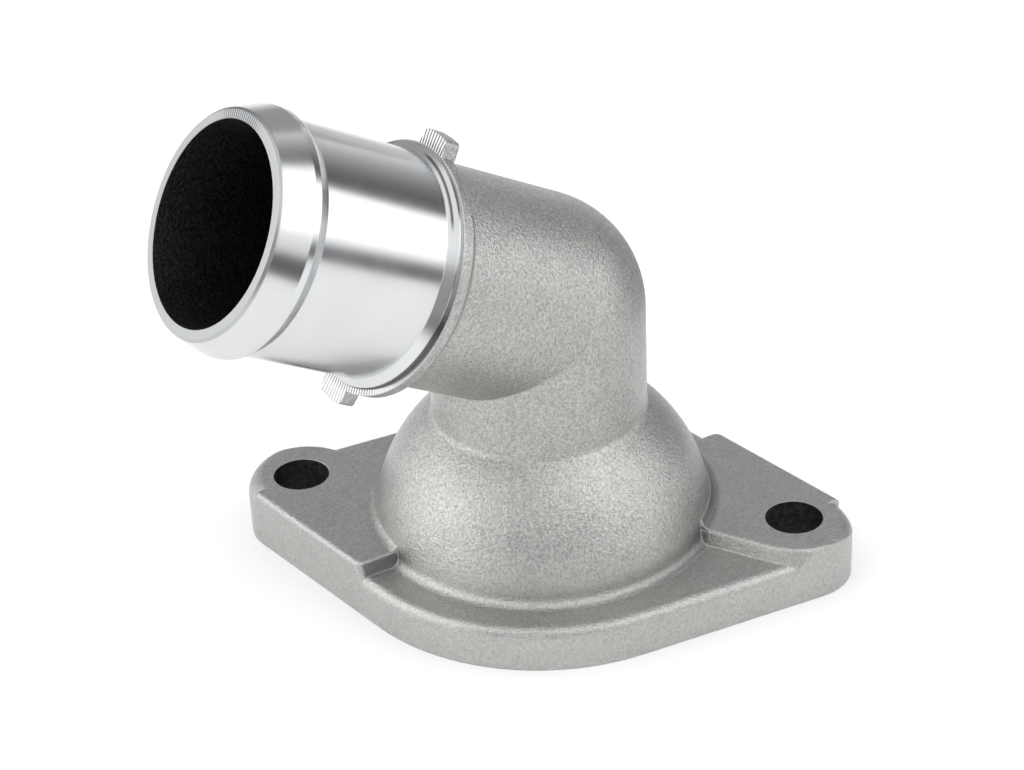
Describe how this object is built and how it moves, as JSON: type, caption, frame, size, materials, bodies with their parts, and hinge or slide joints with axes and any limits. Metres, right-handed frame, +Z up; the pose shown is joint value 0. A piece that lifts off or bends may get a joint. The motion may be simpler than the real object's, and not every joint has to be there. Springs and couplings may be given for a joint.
{
  "type": "thermostat housing",
  "caption": "Cast aluminium coolant outlet elbow: domed bolt-down flange with an angled, turned hose spigot with bead and lugged collar.",
  "frame": {"origin": "centre of the sealing face, midway between the bolt holes", "axes": "+Z up out of the engine through the dome and neck, +X along the line of the bolt holes; the spigot points to -X -Y and up"},
  "size_m": [0.099, 0.0819, 0.0878],
  "materials": {
    "cast_aluminium": "sand-cast skin, blasted, with the spigot's outside turned bright"
  },
  "bodies": {
    "root": {"housing": "cast_aluminium"}
  },
  "joints": []
}
